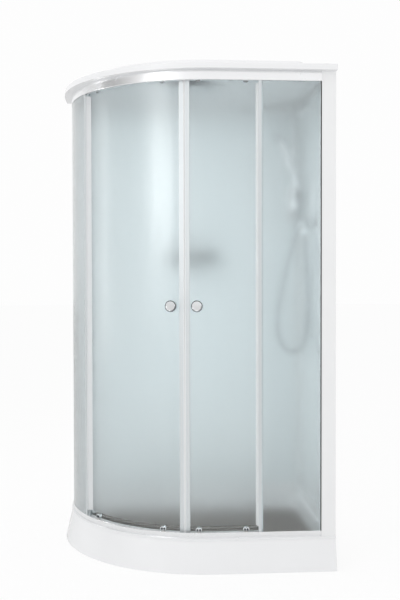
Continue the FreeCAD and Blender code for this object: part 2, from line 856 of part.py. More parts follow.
def door_stiles(left):
    """Meeting stile and trailing stile of one door."""
    meeting = at_meeting_line(stile_outline(web_start, stile_cover), left)
    if not left:
        trailing = along_line(stile_outline(0, edge_cover), door_glass_bottom, stile_top, mirrored=True)
        return [meeting, on_front(trailing, right_door_end_x)]
    middle = (stile_wall + edge_cover) / 2
    trailing = along_line(stile_outline(-middle, edge_cover), door_glass_bottom, stile_top)
    return [meeting, on_arc(trailing, left_door_end_angle - angle_for(middle))]


def magnetic_seal(left):
    """Magnet strip on the meeting stile, with a slightly crowned face."""
    outer = slot_outer - stile_wall + 0.8
    inner = slot_inner + stile_wall - 0.8
    outline = [(web_start, outer), (magnet_start + 0.8, outer), (magnet_start, outer + 1.5),
               (magnet_start, inner - 1.5), (magnet_start + 0.8, inner), (web_start, inner)]
    return at_meeting_line(outline, left)


def seal_profile():
    """Drip seal over a door's lower edge, clear of the rail's drip lip."""
    low = bottom_rail_top - 15.5
    slot = door_glass_bottom - fit_gap
    outer = slot_outer - seal_wall
    inner = slot_inner + seal_wall
    return [(outer, low + 2), (outer, seal_top), (slot_outer, seal_top), (slot_outer, slot),
            (slot_inner, slot), (slot_inner, seal_top), (inner, seal_top), (inner, low),
            (slot_inner, low), (slot_inner - seal_wall, low + 2)]


def bottom_seal(left):
    clear = angle_for(web_start + stile_wall + stile_cover + 1.0)
    if left:
        end = left_door_end_angle - angle_for(stile_wall + edge_cover + 1.0)
        return swept(seal_profile(), meeting_angle + clear, end)
    corners = [at_arc_start(inset, height) for inset, height in seal_profile()]
    section = Part.Face(Part.makePolygon(corners + corners[:1]))
    bent = section.revolve(Vec(arc_x, arc_y, 0), Vec(0, 0, -1), meeting_angle - clear)
    end = right_door_end_x - stile_wall - edge_cover - 1.0
    return fused(section.extrude(Vec(end - arc_x, 0, 0)), bent)


def knob():
    """Dished mushroom knob outside, flat knob inside, joined by a stud through the glass."""
    face = door_outer - knob_stand
    back = door_outer - fit_gap
    r = knob_radius
    outside = turned([(back, 0), (back, knob_neck), (face + 16, knob_neck), (face + 4, r), (face, r - 1.5),
                      (face + 3, r - 6), (face + 3, 0)], knob_height)
    base = door_inner + fit_gap
    stud = turned([(back, 0), (back, stud_radius), (base, stud_radius), (base, 0)], knob_height)
    inside = turned([(base, 0), (base, knob_neck), (base + 9, knob_neck), (base + 14, inner_knob_radius),
                     (base + 22, inner_knob_radius), (base + 22, 0)], knob_height)
    return fused(outside, stud, inside)


# ================================================================ wheels, hangers and guides
top_axle_height = hanger_hole_height + eccentricity
bottom_axle_height = (tray_top + flange + bottom_bead_height + wheel_lift
                      + bottom_wheel_radius - groove_depth)


def wheel(radius, height):
    """Wheel with a wide groove between two flanges, bored for its pin."""
    groove = radius - groove_depth
    bore = pin_radius + running_gap
    outline = [
        (wheel_outer_side, bore), (wheel_outer_side, radius), (wheel_outer_side + wheel_flange, groove),
        (wheel_inner_side - wheel_flange, groove), (wheel_inner_side, radius), (wheel_inner_side, bore),
    ]
    return turned(outline, height)


def axle_pin(height, end):
    """Plain pin that carries a wheel, from the wheel's outer side to its carrier."""
    start = wheel_outer_side + 0.2
    return turned([(start, 0), (start, pin_radius), (end, pin_radius), (end, 0)], height)


def hanger():
    """Eccentric disc outside the glass with the wheel's pin, stud through the glass and inner cap."""
    disc_in = door_outer - fit_gap
    disc_out = disc_in - disc_thickness
    cap_in = door_inner + fit_gap
    body = turned([(disc_out, 0), (disc_out, disc_radius), (disc_in, disc_radius), (disc_in, stud_radius),
                   (cap_in, stud_radius), (cap_in, cap_radius), (cap_in + cap_depth, cap_radius),
                   (cap_in + cap_depth, 0)], hanger_hole_height)
    return fused(axle_pin(top_axle_height, disc_out + 1), body)


def guide():
    """Two-lobed lower guide, an arm down to the wheel's pin, stud through the glass and inner cap."""
    outer = door_outer - fit_gap
    face = outer - guide_reach
    hole = guide_hole_height
    lobes = [turned([(face, 0), (face, guide_lobe_radius), (outer, guide_lobe_radius), (outer, 0)],
                    hole, side * guide_lobe_offset) for side in (-1, 1)]
    arm_out = wheel_inner_side + 1.0
    arm_in = outer - seal_wall - fit_gap
    foot = bottom_axle_height - 6
    side = [(arm_out, foot), (arm_in, foot), (arm_in, seal_top + fit_gap), (outer, seal_top + fit_gap),
            (outer, hole), (arm_out, hole)]
    corners = [Vec(arc_x - 5, front_y + inset, height) for inset, height in side]
    arm = Part.Face(Part.makePolygon(corners + corners[:1])).extrude(Vec(10, 0, 0))
    cap_in = door_inner + fit_gap
    back = turned([(outer - 1, 0), (outer - 1, stud_radius), (cap_in, stud_radius),
                   (cap_in, guide_cap_radius), (cap_in + guide_cap_depth, guide_cap_radius),
                   (cap_in + guide_cap_depth, 0)], hole)
    return fused(lobes[0], lobes[1], arm, axle_pin(bottom_axle_height, arm_out + 1), back)


def at_left_wheels(shape):
    return [on_arc(shape, angle) for angle in left_wheel_angles]


def at_right_wheels(shape):
    return [on_arc(shape, right_front_wheel_angle), on_front(shape, right_rear_wheel_x)]


# ================================================================ roof
def roof_canopy():
    """Thin moulded shell: flat rim, low dome, turned-in flange and a boss for the supply pipe."""
    low = rail_top
    rim_top = low + rim_height
    dome_top = rim_top + dome_height
    dome_right = right_x - dome_right_gap
    dome_back = back_y - dome_back_gap
    s = roof_skin
    edge = 4.0
    skirt = quadrant(roof_inset, right_x, back_y, low, rim_top - edge)
    crown = quadrant_taper((roof_inset, right_x, back_y, rim_top - edge, 0),
                           (roof_inset + edge, right_x - 2, back_y - 2, rim_top, 0))
    dome = quadrant_taper((dome_inset, dome_right, dome_back, rim_top - 1, 40),
                          (dome_inset + dome_draft, dome_right - dome_draft, dome_back - dome_draft,
                           dome_top, 40))
    hollow_rim = quadrant(roof_inset + s, right_x - s, back_y - s, low + roof_flange, rim_top - s)
    hollow_dome = quadrant_taper((dome_inset + s, dome_right - s, dome_back - s, rim_top - s - 1, 36),
                                 (dome_inset + dome_draft + s, dome_right - dome_draft - s,
                                  dome_back - dome_draft - s, dome_top - s, 36))
    mouth = quadrant(pan_inset + 6, right_x - pan_back_gap - 6, back_y - pan_back_gap - 6,
                     low - 1, low + roof_flange + 1, 14)
    shell = fused(skirt, crown, dome).cut(hollow_rim).cut(hollow_dome).cut(mouth)
    pipe_hole = Part.makeCylinder(thread_radius + fit_gap, 40, Vec(rain_x, rain_y, dome_top - 20))
    return shell.cut(pipe_hole)


def ceiling_pan():
    """Shallow pan that closes the roof from below and carries the rain shower."""
    x_end = right_x - pan_back_gap
    y_end = back_y - pan_back_gap
    outer = quadrant(pan_inset, x_end, y_end, pan_bottom, pan_top, 20)
    inner = quadrant(pan_inset + pan_skin, x_end - pan_skin, y_end - pan_skin,
                     pan_bottom + pan_skin, pan_top + 1, 17)
    hole = Part.makeCylinder(thread_radius + fit_gap, 20, Vec(rain_x, rain_y, pan_bottom - 5))
    return outer.cut(inner).cut(hole)


def rain_head():
    """Flat round spray head with a short neck under the ceiling."""
    low = pan_bottom - rain_drop
    r = rain_radius
    return spun([(0, low), (r - 8, low), (r, low + 4), (34, low + 9), (rain_neck, pan_bottom),
                 (0, pan_bottom)], rain_x, rain_y)


def rain_supply():
    """Threaded pipe through the ceiling and the roof, with a nut on the dome."""
    dome_top = rail_top + rim_height + dome_height
    stem = spun([(7, pan_bottom), (thread_radius, pan_bottom), (thread_radius, dome_top + 22),
                 (7, dome_top + 22)], rain_x, rain_y)
    nut = Part.makeCylinder(supply_nut_radius, 8, Vec(rain_x, rain_y, dome_top))
    nut = nut.cut(Part.makeCylinder(thread_radius - 1, 8, Vec(rain_x, rain_y, dome_top)))
    return fused(stem, nut)


# ================================================================ shelf and soap dispenser
def shelf_plan(grow, back_gap):
    """Outline of the shelf with large front corners, moved inwards by a wall."""
    x0 = shelf_x - shelf_width / 2 + grow
    x1 = shelf_x + shelf_width / 2 - grow
    y1 = wall_in_y - back_gap
    y0 = wall_in_y - shelf_depth + grow
    r = shelf_corner - grow
    half = math.sqrt(0.5)
    edges = [
        Part.makeLine(Vec(x1, y1, 0), Vec(x0, y1, 0)),
        Part.makeLine(Vec(x0, y1, 0), Vec(x0, y0 + r, 0)),
        Part.Arc(Vec(x0, y0 + r, 0), Vec(x0 + r - r * half, y0 + r - r * half, 0),
                 Vec(x0 + r, y0, 0)).toShape(),
        Part.makeLine(Vec(x0 + r, y0, 0), Vec(x1 - r, y0, 0)),
        Part.Arc(Vec(x1 - r, y0, 0), Vec(x1 - r + r * half, y0 + r - r * half, 0),
                 Vec(x1, y0 + r, 0)).toShape(),
        Part.makeLine(Vec(x1, y0 + r, 0), Vec(x1, y1, 0)),
    ]
    return Part.Face(Part.Wire(edges))


def soap_shelf():
    """Deep tray with rounded front corners and a row of drain slots."""
    outer = shelf_plan(0, fit_gap).extrude(Vec(0, 0, shelf_height))
    inner = shelf_plan(shelf_wall, shelf_wall).extrude(Vec(0, 0, shelf_height))
    outer.translate(Vec(0, 0, shelf_z))
    inner.translate(Vec(0, 0, shelf_z + shelf_wall))
    tray = outer.cut(inner)
    for k in range(-3, 4):
        x = shelf_x + 20.0 * k
        slot = box(x - 2, x + 2, wall_in_y - shelf_depth + 25, wall_in_y - 25, shelf_z - 1,
                   shelf_z + shelf_wall + 1)
        tray = tray.cut(slot)
    return tray


def shelf_rail():
    """Flat strip bent round above the shelf's rim, on two short posts."""
    top = shelf_z + shelf_height
    outer = shelf_plan(0, fit_gap).extrude(Vec(0, 0, rail_strip))
    inner = shelf_plan(shelf_wall, -shelf_wall).extrude(Vec(0, 0, rail_strip))
    strip = outer.cut(inner)
    strip.translate(Vec(0, 0, top + rail_lift))
    y0 = wall_in_y - shelf_depth
    posts = [box(x - 3, x + 3, y0, y0 + shelf_wall, top, top + rail_lift + 1)
             for x in (shelf_x - 45.0, shelf_x + 45.0)]
    return fused(strip, *posts)


def dispenser_body():
    """Slim upright soap dispenser with rounded front edges and a socket for its button."""
    x0 = dispenser_x - dispenser_width / 2
    x1 = dispenser_x + dispenser_width / 2
    y1 = wall_in_y - fit_gap
    y0 = y1 - dispenser_depth
    z0 = dispenser_z
    body = box(x0, x1, y0, y1, z0, z0 + dispenser_height)
    upright = [edge for edge in body.Edges
               if abs(edge.tangentAt(edge.FirstParameter).z) > 0.9 and edge.CenterOfMass.y < y0 + 1]
    body = body.makeFillet(10.0, upright)
    button_z = z0 + button_height
    socket = rod(button_radius + fit_gap, Vec(dispenser_x, y0 - 1, button_z),
                 Vec(dispenser_x, y0 + button_socket, button_z))
    spout = rod(4.0, Vec(dispenser_x, y0 + 16, z0 - 8), Vec(dispenser_x, y0 + 16, z0 + 1))
    return fused(body, spout).cut(socket)


def dispenser_button():
    y0 = wall_in_y - fit_gap - dispenser_depth
    z = dispenser_z + button_height
    return rod(button_radius, Vec(dispenser_x, y0 - button_travel, z),
               Vec(dispenser_x, y0 + button_socket - button_travel - fit_gap, z))


# ================================================================ slide bar, hand shower and hose
lean = math.radians(handset_lean)
pivot = Vec(bar_x, pivot_y, pivot_z)
handset_up = Vec(-math.sin(lean), 0, math.cos(lean))
tail_length = 36.0
nut_length = 20.0
boss_offset = 19.5
holder_pin_radius = 4.0


def slide_bar():
    low, high = bar_bracket_heights
    return rod(bar_radius, Vec(bar_x, bar_y, low - 26), Vec(bar_x, bar_y, high + 26))


def bar_bracket(z):
    """Collar round the bar on a stem that flares to the wall."""
    collar = rod(bar_radius + 4, Vec(bar_x, bar_y, z - 13), Vec(bar_x, bar_y, z + 13))
    stem = Part.makeCone(9.0, 21.0, wall_in_x - fit_gap - bar_x, Vec(bar_x, bar_y, z), Vec(1, 0, 0))
    bore = rod(bar_radius + running_gap, Vec(bar_x, bar_y, z - 20), Vec(bar_x, bar_y, z + 20))
    return fused(collar, stem).cut(bore)


def holder_slider():
    """Sleeve on the bar with a boss and pin for the tilting holder."""
    sleeve = rod(17.0, Vec(bar_x, bar_y, pivot_z - 22), Vec(bar_x, bar_y, pivot_z + 22))
    boss_end = pivot_y + boss_offset
    boss = rod(12.0, Vec(bar_x, boss_end, pivot_z), Vec(bar_x, bar_y - 8, pivot_z))
    pin = rod(holder_pin_radius, Vec(bar_x, boss_end - 6, pivot_z), Vec(bar_x, boss_end, pivot_z))
    bore = rod(bar_radius + running_gap, Vec(bar_x, bar_y, pivot_z - 30), Vec(bar_x, bar_y, pivot_z + 30))
    return fused(sleeve, boss).cut(bore).fuse(pin).removeSplitter()


def leaned(shape):
    """Lean a shape built upright on the pivot the way the handset leans."""
    return shape.copy().rotate(pivot, Vec(0, 1, 0), -handset_lean)


def along_handset(distance):
    return pivot + handset_up * distance


def holder_cone():
    """Conical ring that the handset's tail drops into, slit at the front, with a pivot socket."""
    half = 15.0
    ring = spun([(0, pivot_z - half), (16.0, pivot_z - half), (17.0, pivot_z + half),
                 (0, pivot_z + half)], bar_x, pivot_y)
    neck_end = pivot_y + boss_offset - fit_gap
    neck = rod(9.0, Vec(bar_x, pivot_y, pivot_z), Vec(bar_x, neck_end, pivot_z))
    tail = spun([(0, pivot_z - half - 1), (tail_radius(-half - 1) + fit_gap, pivot_z - half - 1),
                 (tail_radius(half + 1) + fit_gap, pivot_z + half + 1), (0, pivot_z + half + 1)],
                bar_x, pivot_y)
    socket = rod(holder_pin_radius + running_gap, Vec(bar_x, neck_end - 6, pivot_z), Vec(bar_x, neck_end + 1, pivot_z))
    slit = box(bar_x - 7.5, bar_x + 7.5, pivot_y - 20, pivot_y, pivot_z - half - 1, pivot_z + half + 1)
    return leaned(fused(ring, neck).cut(tail).cut(socket).cut(slit))


def tail_radius(height):
    """Radius of the handset's conical tail at a height from the pivot."""
    return 11.5 + height * 0.05


def handset():
    """Tapered handle that widens into a round spray head facing down and to the left."""
    handle = spun([(0, pivot_z - tail_length), (tail_radius(-tail_length), pivot_z - tail_length),
                   (tail_radius(30), pivot_z + 30), (14.5, pivot_z + 80),
                   (12.0, pivot_z + handset_reach - 12), (0, pivot_z + handset_reach - 12)],
                  bar_x, pivot_y)
    handle = leaned(handle)
    centre = along_handset(handset_reach)
    facing = math.radians(50.0)
    normal = Vec(-math.sin(facing), 0, -math.cos(facing))
    r = handset_head_radius
    head = spun([(0, -14), (15, -14), (r, 1), (r, 9), (0, 9)], 0, 0)
    turn = FreeCAD.Rotation(UP, normal)
    head.Placement = FreeCAD.Placement(centre - normal * 2, turn)
    return fused(handle, head)


def hose_cone_nut():
    """Conical nut that joins the hose to the handset's tail."""
    top = pivot_z - tail_length - fit_gap
    low = top - nut_length
    cone = spun([(hose_radius + 0.4, top), (11.5, top), (9.0, low), (hose_radius + 0.4, low)],
                bar_x, pivot_y)
    return leaned(cone)


hose_start = along_handset(-tail_length - nut_length * 0.5)
outlet_bottom = mixer_z - outlet_reach - 10.0
hose_first = along_handset(-tail_length - nut_length * 0.5 - 40.0)
hose_route = [
    (hose_start.x, hose_start.y, hose_start.z),
    (hose_first.x, hose_first.y, hose_first.z),
    (560.0, 225.5, 1592.0),
    (527.0, 225.0, 1451.0),
    (478.0, 219.0, 1268.0),
    (440.0, 208.0, 1087.0),
    (440.0, 190.0, 968.0),
    (480.0, 158.0, 897.0),
    (536.0, 122.0, 905.0),
    (566.0, 98.0, 975.0),
    (570.0, 86.0, 1115.0),
    (564.0, 84.0, 1290.0),
    (554.0, 85.0, 1410.0),
    (mixer_x, mixer_y, outlet_bottom),
]


def hose_tube():
    """Round tube along straight runs joined by tangent arcs, each as large as its runs allow."""
    points = [Vec(*p) for p in hose_route]
    arcs = []
    radii = []
    for before, point, after in zip(points, points[1:], points[2:]):
        back = (before - point).normalize()
        ahead = (after - point).normalize()
        turn = math.pi - back.getAngle(ahead)
        reach = 0.45 * min((before - point).Length, (after - point).Length)
        radius = reach / math.tan(turn / 2)
        start = point + back * reach
        end = point + ahead * reach
        inward = (back + ahead).normalize()
        middle = point + inward * (radius / math.cos(turn / 2) - radius)
        arcs.append((start, middle, end))
        radii.append(round(radius))
    edges = []
    here = points[0]
    for start, middle, end in arcs:
        edges.append(Part.LineSegment(here, start).toShape())
        edges.append(Part.Arc(start, middle, end).toShape())
        here = end
    edges.append(Part.LineSegment(here, points[-1]).toShape())
    path = Part.Wire(edges)
    first = (points[1] - points[0]).normalize()
    circle = Part.Wire(Part.makeCircle(hose_radius, points[0], first))
    tube = path.makePipeShell([circle], True, False)
    section = math.pi * hose_radius ** 2
    print("hose length", round(path.Length, 1), "radii", radii)
    print("hose volume over section times length", round(tube.Volume / (section * path.Length), 4))
    return tube


# ================================================================ mixer
def mixer_wall_holes():
    half = inlet_spacing / 2
    return [(mixer_y - half, mixer_z), (mixer_y, mixer_z), (mixer_y + half, mixer_z)]


def mixer_body():
    """Level body with three unions through the wall and the hose outlet below."""
    half = inlet_spacing / 2
    body = rod(16.0, Vec(mixer_x, mixer_y - half - 15, mixer_z), Vec(mixer_x, mixer_y + half + 15, mixer_z))
    unions = []
    for y, z in mixer_wall_holes():
        unions.append(rod(thread_radius, Vec(mixer_x, y, z), Vec(thread_start - 1.5, y, z)))
        unions.append(rod(thread_radius - 1, Vec(mixer_x, y, z), Vec(thread_start, y, z)))
        unions.append(rod(thread_radius, Vec(thread_start, y, z), Vec(right_x, y, z)))
        cup_length = mixer_stand - fit_gap - cup_start
        unions.append(Part.makeCone(15.0, cup_radius, cup_length, Vec(mixer_x + cup_start, y, z),
                                    Vec(1, 0, 0)))
    outlet = rod(11.0, Vec(mixer_x, mixer_y, mixer_z), Vec(mixer_x, mixer_y, mixer_z - outlet_reach))
    return fused(body, outlet, *unions)


def hose_outlet_nut():
    """Nut that joins the hose to the mixer's outlet."""
    top = mixer_z - outlet_reach
    inner = hose_radius + 0.4
    return spun([(inner, top - 18), (12.0, top - 18), (12.0, top), (inner, top)], mixer_x, mixer_y)


def mixer_nuts():
    """Hexagon nuts that clamp the mixer to the side wall from behind."""
    nuts = []
    for y, z in mixer_wall_holes():
        corners = [Vec(wall_out_x, y + wall_nut_radius * math.cos(math.radians(60 * k)),
                       z + wall_nut_radius * math.sin(math.radians(60 * k))) for k in range(7)]
        hexagon = Part.Face(Part.makePolygon(corners)).extrude(Vec(wall_nut_depth, 0, 0))
        bore = rod(thread_radius + running_gap, Vec(wall_out_x - 5, y, z), Vec(wall_out_x + 15, y, z))
        nuts.append(hexagon.cut(bore))
    return nuts


def mixer_handle(side):
    """Round end handle with a finger lug; side is +1 at the back end and -1 at the front end."""
    start = mixer_y + side * (inlet_spacing / 2 + 15 + fit_gap)
    end = start + side * handle_length
    barrel = rod(handle_radius, Vec(mixer_x, start, mixer_z), Vec(mixer_x, end, mixer_z))
    lug_low = min(start + side * 8, end - side * 6)
    lug_high = max(start + side * 8, end - side * 6)
    lug = box(mixer_x - 4, mixer_x + 4, lug_low, lug_high, mixer_z + handle_radius - 4,
              mixer_z + handle_radius + 6)
    return fused(barrel, lug)


# ================================================================ write every node
save("tray_basin", tray_basin())
save("front_apron", front_apron())
save("floor_deck", floor_deck())
save("base_frame", *base_frame())
save("foot_rods", *[foot_rod(x, y) for x, y in feet_spots()])
save("foot_pads", *[foot_pad(x, y) for x, y in feet_spots()])
save("drain_trap", drain_trap(), drain_flange())
save("drain_grate", drain_grate())

save("bottom_rail", bottom_rail())
save("top_rail", top_rail())
save("door_stops", *door_stops())
save("front_right_post", front_right_post())
save("rear_left_post", rear_left_post())
save("corner_profile", corner_profile())
save("side_wall_panel", side_wall_panel())
save("back_wall_panel", back_wall_panel())
save("wall_base_profiles", *wall_profile_pair(base_profile_height, tray_top, True))
save("wall_top_profiles", *wall_profile_pair(top_profile_height, rail_top - top_profile_height, False))

save("fixed_glass_left", fixed_glass_left())
save("fixed_glass_right", fixed_glass_right())
save("fixed_edge_profiles", *both_seams(edge_outline(), trim_low, trim_high))
save("fixed_lip_seals", *both_seams(lip_outline(), clear_band_top + 2, top_rail_bottom - 10))
save("glazing_gaskets", *glazing_gaskets())

save("left_door_glass", left_door_glass())
save("right_door_glass", right_door_glass())
save("left_door_stiles", *door_stiles(True))
save("right_door_stiles", *door_stiles(False))
save("left_door_seals", magnetic_seal(True), bottom_seal(True))
save("right_door_seals", magnetic_seal(False), bottom_seal(False))
save("left_door_knob", on_arc(knob(), left_knob_angle))
save("right_door_knob", on_arc(knob(), right_knob_angle))
save("left_roller_carriers", *at_left_wheels(hanger()), *at_left_wheels(guide()))
save("right_roller_carriers", *at_right_wheels(hanger()), *at_right_wheels(guide()))

for level, radius, height in (("top", top_wheel_radius, top_axle_height),
                              ("bottom", bottom_wheel_radius, bottom_axle_height)):
    left_pair = at_left_wheels(wheel(radius, height))
    right_pair = at_right_wheels(wheel(radius, height))
    for end, left_wheel, right_wheel in zip(("front", "rear"), left_pair, right_pair):
        save("left_" + level + "_" + end + "_wheel", left_wheel)
        save("right_" + level + "_" + end + "_wheel", right_wheel)

save("roof_canopy", roof_canopy())
save("ceiling_pan", ceiling_pan())
save("rain_head", rain_head())
save("rain_supply", rain_supply())

save("soap_shelf", soap_shelf())
save("shelf_rail", shelf_rail())
save("dispenser_body", dispenser_body())
save("dispenser_button", dispenser_button())

save("slide_bar", slide_bar())
save("bar_brackets", *[bar_bracket(z) for z in bar_bracket_heights])
save("holder_slider", holder_slider())
save("holder_cone", holder_cone())
save("handset", handset())
save("hose_cone_nut", hose_cone_nut())
save("shower_hose", hose_tube())
save("mixer_body", mixer_body(), hose_outlet_nut())
save("mixer_nuts", *mixer_nuts())
save("temperature_handle", mixer_handle(1))
save("flow_handle", mixer_handle(-1))
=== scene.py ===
import bpy
import bmesh
import json
import math
from mathutils import Matrix, Vector


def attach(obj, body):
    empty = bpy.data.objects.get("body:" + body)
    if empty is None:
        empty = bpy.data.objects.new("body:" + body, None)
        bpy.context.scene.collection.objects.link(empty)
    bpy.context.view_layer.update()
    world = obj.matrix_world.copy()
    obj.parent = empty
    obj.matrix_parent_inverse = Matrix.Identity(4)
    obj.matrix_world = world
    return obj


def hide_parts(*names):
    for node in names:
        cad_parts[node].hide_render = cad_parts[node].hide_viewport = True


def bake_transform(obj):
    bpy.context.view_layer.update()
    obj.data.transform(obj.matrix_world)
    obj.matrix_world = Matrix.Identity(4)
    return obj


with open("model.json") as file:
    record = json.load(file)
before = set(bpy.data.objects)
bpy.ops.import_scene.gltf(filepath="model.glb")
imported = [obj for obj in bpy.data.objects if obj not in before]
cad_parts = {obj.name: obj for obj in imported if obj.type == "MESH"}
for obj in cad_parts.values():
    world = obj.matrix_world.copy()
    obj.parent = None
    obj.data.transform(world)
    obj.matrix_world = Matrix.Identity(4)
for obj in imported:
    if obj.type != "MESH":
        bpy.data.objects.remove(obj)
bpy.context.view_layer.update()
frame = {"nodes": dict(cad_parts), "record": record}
nodes = frame["nodes"]
scene = bpy.context.scene

# ------------------------------------------------------------ sizes taken from the part, in metres
arc_centre = Vector((0.080, 0.280))
corner_radius = 0.680
front_face = -0.400
left_wheel_angles = (20.8, 54.6)
right_wheel_angle = 6.5
right_wheel_x = 0.214
meeting_angle = 12.0
door_outer = 0.0615
door_inner = 0.0665
door_middle = 0.0640
clear_band_top = 0.190
guide_hole_height = 0.176
knob_height = 1.138
knob_offset = 0.054
knob_stand = 0.033
pivot = Vector((0.535, 0.225, 1.746))
handset_lean = math.radians(23.0)
handset_reach = 0.208
rain_centre = Vector((-0.007, -0.093))
rain_bottom = 2.099


# ------------------------------------------------------------ frames on the corner and the front
def on_corner(angle, inset, height):
    """Point at an angle from the front towards the left, and the way out of the cabin."""
    t = math.radians(angle)
    out = Vector((-math.sin(t), -math.cos(t), 0.0))
    r = corner_radius - inset
    return Vector((arc_centre.x + out.x * r, arc_centre.y + out.y * r, height)), out


def on_front(x, inset, height):
    """Point on the straight front, and the way out of the cabin."""
    return Vector((x, front_face + inset, height)), Vector((0.0, -1.0, 0.0))


def standing(place, out):
    """Matrix with local Z along out and local Y up."""
    z = out.normalized()
    x = Vector((0, 0, 1)).cross(z).normalized()
    y = z.cross(x)
    m = Matrix((x, y, z)).transposed().to_4x4()
    m.translation = place
    return m


# ------------------------------------------------------------ node helpers
class Graph:
    """Node material with short calls for the nodes used here."""

    def __init__(self, name):
        self.mat = bpy.data.materials.new(name)
        self.mat.use_nodes = True
        self.tree = self.mat.node_tree
        self.tree.nodes.clear()
        self.out = self.tree.nodes.new("ShaderNodeOutputMaterial")

    def link(self, a, b):
        self.tree.links.new(a, b)

    def shader(self, colour, roughness, metallic=0.0, **extra):
        s = self.tree.nodes.new("ShaderNodeBsdfPrincipled")
        s.inputs["Base Color"].default_value = (*colour, 1.0)
        s.inputs["Roughness"].default_value = roughness
        s.inputs["Metallic"].default_value = metallic
        for key, value in extra.items():
            s.inputs[key.replace("_", " ")].default_value = value
        self.link(s.outputs[0], self.out.inputs[0])
        return s

    def place(self, scale=(1, 1, 1)):
        """Object coordinates, stretched."""
        c = self.tree.nodes.new("ShaderNodeTexCoord")
        m = self.tree.nodes.new("ShaderNodeMapping")
        m.inputs["Scale"].default_value = scale
        self.link(c.outputs["Object"], m.inputs["Vector"])
        return m.outputs[0]

    def noise(self, vector, scale, detail=3.0, rough=0.5):
        n = self.tree.nodes.new("ShaderNodeTexNoise")
        n.inputs["Scale"].default_value = scale
        n.inputs["Detail"].default_value = detail
        n.inputs["Roughness"].default_value = rough
        self.link(vector, n.inputs["Vector"])
        return n.outputs[0]

    def spread(self, value, low, high, from_low=0.3, from_high=0.7):
        m = self.tree.nodes.new("ShaderNodeMapRange")
        m.inputs["From Min"].default_value = from_low
        m.inputs["From Max"].default_value = from_high
        m.inputs["To Min"].default_value = low
        m.inputs["To Max"].default_value = high
        self.link(value, m.inputs["Value"])
        return m.outputs[0]

    def ramp(self, value, *stops):
        r = self.tree.nodes.new("ShaderNodeValToRGB")
        points = r.color_ramp.elements
        while len(points) < len(stops):
            points.new(0.5)
        for point, (at, colour) in zip(points, stops):
            point.position = at
            point.color = (*colour, 1.0)
        self.link(value, r.inputs[0])
        return r.outputs[0]

    def bump(self, shader, height, strength, distance):
        b = self.tree.nodes.new("ShaderNodeBump")
        b.inputs["Strength"].default_value = strength
        b.inputs["Distance"].default_value = distance
        self.link(height, b.inputs["Height"])
        self.link(b.outputs[0], shader.inputs["Normal"])

    def maths(self, operation, a, b, c=None):
        """Math node; each value is a socket or a number."""
        m = self.tree.nodes.new("ShaderNodeMath")
        m.operation = operation
        for put, value in zip(m.inputs, (a, b, c)):
            if isinstance(value, float):
                put.default_value = value
            elif value is not None:
                self.link(value, put)
        return m.outputs[0]

    def height(self):
        """Height over the floor, in metres."""
        c = self.tree.nodes.new("ShaderNodeTexCoord")
        xyz = self.tree.nodes.new("ShaderNodeSeparateXYZ")
        self.link(c.outputs["Object"], xyz.inputs[0])
        return xyz.outputs[2]

    def mixed(self, factor, a, b):
        """Mix two shaders into the output."""
        mix = self.tree.nodes.new("ShaderNodeMixShader")
        self.link(factor, mix.inputs[0])
        self.link(a.outputs[0], mix.inputs[1])
        self.link(b.outputs[0], mix.inputs[2])
        self.link(mix.outputs[0], self.out.inputs[0])


def moulded_plastic(name, colour, roughness, variation=0.03, coat=0.0):
    g = Graph(name)
    s = g.shader(colour, roughness, Coat_Weight=coat, Coat_Roughness=0.08)
    v = g.place()
    cloud = g.noise(v, 6.0)
    darker = tuple(c * (1 - variation) for c in colour)
    g.link(g.ramp(cloud, (0.35, darker), (0.65, colour)), s.inputs["Base Color"])
    g.link(g.spread(g.noise(v, 35.0), roughness * 0.85, roughness * 1.2), s.inputs["Roughness"])
    g.bump(s, g.noise(v, 900.0, 2.0), 0.05, 0.0003)
    return g.mat


def metal(name, colour, roughness, streaks=None, smudge=0.4, metallic=1.0):
    g = Graph(name)
    s = g.shader(colour, roughness, metallic)
    v = g.place(streaks or (1, 1, 1))
    g.link(g.spread(g.noise(v, 40.0, 4.0), roughness * (1 - smudge), roughness * (1 + smudge)),
           s.inputs["Roughness"])
    if streaks:
        g.bump(s, g.noise(v, 700.0, 2.0), 0.06, 0.0002)
    return g.mat


board_share = 0.7


def deck_boards():
    """Dark slats with fine grain and paler and darker boards."""
    g = Graph("dark_deck")
    s = g.shader((0.12, 0.10, 0.09), 0.42)
    boards = g.noise(g.place((0.4, 9.0, 1.0)), 2.2, 2.0)
    grain = g.noise(g.place((2.5, 60.0, 8.0)), 9.0, 6.0, 0.65)
    fine = g.spread(grain, 0.0, 0.30, 0.2, 0.8)
    tone = g.maths("MULTIPLY_ADD", boards, board_share, fine)
    g.link(g.ramp(tone, (0.30, (0.085, 0.070, 0.060)), (0.50, (0.150, 0.126, 0.110)),
                  (0.72, (0.260, 0.228, 0.200))), s.inputs["Base Color"])
    g.link(g.spread(grain, 0.34, 0.55), s.inputs["Roughness"])
    g.bump(s, grain, 0.25, 0.0006)
    return g.mat


def galvanised():
    g = Graph("galvanised_steel")
    s = g.shader((0.62, 0.63, 0.64), 0.42, 1.0)
    v = g.place()
    cell = g.tree.nodes.new("ShaderNodeTexVoronoi")
    cell.inputs["Scale"].default_value = 110.0
    g.link(v, cell.inputs["Vector"])
    g.link(g.ramp(cell.outputs["Color"], (0.0, (0.52, 0.53, 0.55)), (1.0, (0.70, 0.71, 0.72))),
           s.inputs["Base Color"])
    g.link(g.spread(cell.outputs["Color"], 0.34, 0.52, 0.0, 1.0), s.inputs["Roughness"])
    return g.mat


def rubber():
    g = Graph("black_rubber")
    s = g.shader((0.035, 0.035, 0.036), 0.62)
    v = g.place()
    g.link(g.spread(g.noise(v, 60.0), 0.55, 0.75), s.inputs["Roughness"])
    g.bump(s, g.noise(v, 1500.0, 2.0), 0.15, 0.0003)
    return g.mat


